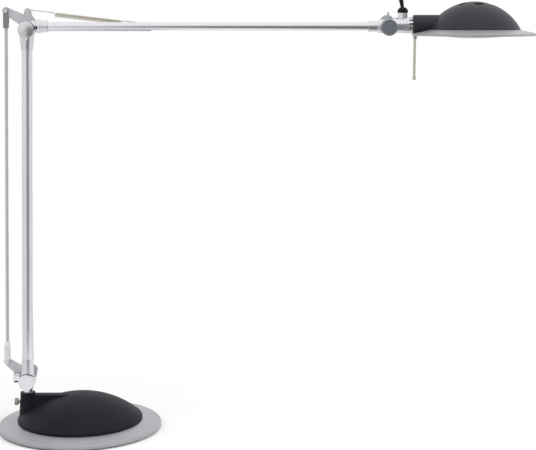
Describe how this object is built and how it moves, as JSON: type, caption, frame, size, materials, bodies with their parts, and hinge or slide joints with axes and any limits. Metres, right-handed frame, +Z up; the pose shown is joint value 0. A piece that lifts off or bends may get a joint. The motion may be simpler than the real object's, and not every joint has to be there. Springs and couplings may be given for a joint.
{
  "type": "counterweight balance desk lamp",
  "caption": "Desk lamp on a round weighted base: spring-balanced twin arms with a tie rod, swivel post and tilting domed head with wide silver flange.",
  "frame": {"origin": "centre of the non-slip pad's underside, which stands on the desk", "axes": "+Z up, +X from the base towards the head, +Y to the rear, where the tie rod and springs are"},
  "size_m": [0.7157, 0.22, 0.6062],
  "materials": {
    "silver_paint": "satin silver lacquer",
    "silver_flange": "satin silver lacquer",
    "dark_cast": "fine dark texture",
    "cast_alloy": "satin silver lacquer",
    "tube_alloy": "satin",
    "plate_steel": "matt silver lacquer",
    "bright_steel": "bright",
    "bush_brass": "turned",
    "ballast_iron": "as cast",
    "pad_rubber": "matt",
    "spring_steel": "yellowed zinc",
    "black_steel": "blackened",
    "black_plastic": "matt",
    "slate_plastic": "matt",
    "housing_plastic": "satin anthracite",
    "coil_pack": "potted",
    "cord_jacket": "matt black",
    "bowl_alloy": "bright",
    "holder_ceramic": "white",
    "bulb_glass": "clear",
    "frosted_glass": "frosted",
    "handle_nickel": "satin nickel"
  },
  "bodies": {
    "base": {"base_plate": "silver_paint", "base_cover": "dark_cast", "post_bush": "bush_brass", "ballast_ring": "ballast_iron", "non_slip_pad": "pad_rubber", "cover_screws": "bright_steel", "transformer": "coil_pack", "terminal_block": "black_plastic", "mains_inlet_gland": "black_plastic"},
    "clamp_screw": {"clamp_screw": "handle_nickel"},
    "swivel": {"swivel_post": "cast_alloy", "shoulder_cap": "cast_alloy", "shoulder_axle": "bright_steel", "shoulder_plate": "plate_steel", "shoulder_nut": "bright_steel", "shoulder_spring_pin": "bright_steel", "clamp_block": "cast_alloy", "clamp_block_screw": "black_steel"},
    "tie_rod": {"tie_rod": "plate_steel", "tie_rod_lower_fork": "cast_alloy", "tie_rod_upper_fork": "slate_plastic", "tie_rod_pins": "bright_steel"},
    "lower_arm": {"lower_tube": "tube_alloy", "lower_arm_foot_fitting": "cast_alloy", "lower_arm_elbow_fitting": "cast_alloy", "lower_grub_screws": "black_steel", "lower_spring_anchor": "bright_steel", "lower_spring": "spring_steel", "elbow_cap": "bright_steel", "elbow_axle": "bright_steel", "elbow_nut": "bright_steel"},
    "elbow_plate": {"elbow_plate": "plate_steel", "elbow_spring_pin": "bright_steel"},
    "upper_arm": {"upper_tube": "tube_alloy", "upper_arm_elbow_fitting": "cast_alloy", "upper_arm_head_fitting": "cast_alloy", "upper_grub_screws": "black_steel", "upper_spring_anchor": "bright_steel", "upper_spring": "spring_steel", "cord_port": "black_plastic", "head_stop_plate": "plate_steel"},
    "head_bracket": {"head_bracket": "cast_alloy", "head_axle": "bright_steel", "head_nut": "bright_steel", "head_joint_ring": "bright_steel", "head_joint_cap": "slate_plastic", "gland_stub": "cast_alloy", "gland_nut": "black_plastic", "ribbed_clip": "cast_alloy", "head_cord": "cord_jacket"},
    "head": {"head_housing": "housing_plastic", "head_flange": "silver_flange", "reflector_bowl": "bowl_alloy", "lamp_holder": "holder_ceramic", "halogen_bulb": "bulb_glass", "diffuser_glass": "frosted_glass", "glass_ring": "cast_alloy", "handle_bracket": "cast_alloy", "handle_rod": "handle_nickel", "handle_tip": "handle_nickel"}
  },
  "joints": [
    {"name": "base_swivel", "type": "hinge", "parent": "base", "child": "swivel", "pos_m": [-0.0706, 0, 0], "axis": [0, 0, 1], "range_deg": [-170, 170]},
    {"name": "clamp_screw_turn", "type": "hinge", "parent": "base", "child": "clamp_screw", "pos_m": [-0.085, 0, 0.0352], "axis": [1, 0, 0], "range_deg": [-180, 180]},
    {"name": "shoulder", "type": "hinge", "parent": "swivel", "child": "lower_arm", "pos_m": [-0.0706, 0, 0.0644], "axis": [0, 1, 0], "range_deg": [-10, 55], "deforming": ["lower_spring"]},
    {"name": "tie_rod_swing", "type": "hinge", "parent": "swivel", "child": "tie_rod", "pos_m": [-0.0993, 0, 0.0888], "axis": [0, 1, 0], "range_deg": [-10, 55]},
    {"name": "elbow_plate_level", "type": "hinge", "parent": "lower_arm", "child": "elbow_plate", "pos_m": [-0.05873, 0, 0.53655], "axis": [0, 1, 0], "range_deg": [-55, 10]},
    {"name": "elbow", "type": "hinge", "parent": "elbow_plate", "child": "upper_arm", "pos_m": [-0.05873, 0, 0.53655], "axis": [0, 1, 0], "range_deg": [-60, 20], "deforming": ["upper_spring"]},
    {"name": "head_tilt", "type": "hinge", "parent": "upper_arm", "child": "head_bracket", "pos_m": [0.41367, 0, 0.53935], "axis": [0, 1, 0], "range_deg": [-45, 90], "deforming": ["head_cord"]},
    {"name": "head_roll", "type": "hinge", "parent": "head_bracket", "child": "head", "pos_m": [0.44, 0, 0.5425], "axis": [1, 0, 0], "range_deg": [-60, 60]}
  ],
  "couplings": [
    {"joint": "tie_rod_swing", "follows": "shoulder", "ratio": 1},
    {"joint": "elbow_plate_level", "follows": "shoulder", "ratio": -1}
  ]
}
